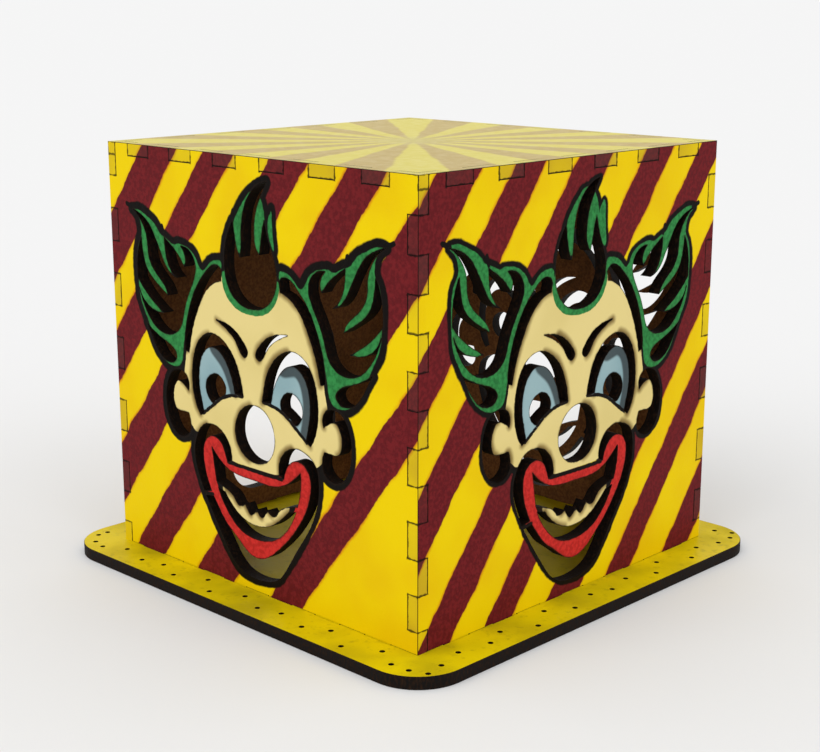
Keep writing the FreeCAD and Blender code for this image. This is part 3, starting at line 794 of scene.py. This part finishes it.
def base_edge_slot(outward, level):
    """Every cut edge of the base plate is burnt board."""
    return BASE_BURNT_SLOT


def stand_in(panel, body, node):
    """Let a panel ride on its body in the place of its CAD node."""
    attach(panel, body)
    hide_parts(node)


for number, wall in enumerate(WALLS):
    slots = Slots(number, BARE_SLOT, shell_edge_slot)
    panel = make_panel(wall.node, wall.along, Z_AXIS, shell_materials, slots, wall.smudge_side)
    stand_in(panel, "shell", wall.node)
top = make_panel("top_panel", X_AXIS, Y_AXIS, shell_materials, Slots(TOP_SLOT, BARE_SLOT, shell_edge_slot))
stand_in(top, "shell", "top_panel")
base_slots = Slots(BASE_PAINT_SLOT, BASE_BARE_SLOT, base_edge_slot)
base = make_panel("base_plate", X_AXIS, Y_AXIS, base_materials, base_slots)
stand_in(base, "base", "base_plate")


# ---------------------------------------------------------------- floor, light and camera
STUDIO_WHITE = 0.91                 # brightness of the room all round
FLOOR_WHITE = 0.81                  # pale enough for the lit floor to look as bright as the room
FLOOR_REACH = 60.0                  # far enough for the floor to run out of sight
LIGHT_SPREAD = math.radians(50)     # how much of the sky a soft light fills


def make_floor():
    """A plain pale floor."""
    mesh = bpy.data.meshes.new("floor")
    corners = [(x * FLOOR_REACH, y * FLOOR_REACH, 0) for x, y in ((-1, -1), (1, -1), (1, 1), (-1, 1))]
    mesh.from_pydata(corners, [], [(0, 1, 2, 3)])
    recipe = Recipe("floor_white")
    white = (FLOOR_WHITE, FLOOR_WHITE, FLOOR_WHITE, 1)
    mesh.materials.append(recipe.finish(white, 0.9, Specular_IOR_Level=0.0))
    in_scene("floor", mesh)


def direction(azimuth, elevation):
    """The way from the box to something at an azimuth and elevation in degrees."""
    turn = math.radians(azimuth)
    rise = math.radians(elevation)
    return Vector((math.sin(turn) * math.cos(rise), -math.cos(turn) * math.cos(rise), math.sin(rise)))


def face_along(thing, way):
    """Turn a light or camera to look along a direction."""
    thing.rotation_euler = way.to_track_quat("-Z", "Y").to_euler()


def make_soft_light(name, azimuth, elevation, strength):
    """A broad, even light that shines on the box from an azimuth and elevation in degrees."""
    light = bpy.data.lights.new(name, "SUN")
    light.energy = strength
    light.angle = LIGHT_SPREAD
    face_along(in_scene(name, light), -direction(azimuth, elevation))


def make_world(strength):
    """Even white light from all round."""
    world = bpy.data.worlds.new("studio")
    world.use_nodes = True
    sky = world.node_tree.nodes["Background"]
    sky.inputs["Color"].default_value = (1, 1, 1, 1)
    sky.inputs["Strength"].default_value = strength
    bpy.context.scene.world = world


def make_camera(azimuth, elevation, distance, aim, lens):
    """A camera that looks at a point from an azimuth and elevation in degrees."""
    data = bpy.data.cameras.new("camera")
    data.lens = lens
    data.clip_start = 0.01
    data.clip_end = 200
    camera = in_scene("camera", data)
    out = direction(azimuth, elevation)
    camera.location = aim + out * distance
    face_along(camera, -out)
    bpy.context.scene.camera = camera


make_floor()
make_world(STUDIO_WHITE)
make_soft_light("key", azimuth=-5, elevation=42, strength=0.7)
make_soft_light("fill", azimuth=95, elevation=30, strength=0.45)
make_camera(azimuth=44.32, elevation=13.8, distance=3.714 * SIDE,
            aim=Vector((0, -0.0104 * SIDE, 0.44 * BOX_TOP)), lens=67.93)
bpy.context.scene.view_settings.view_transform = "Standard"
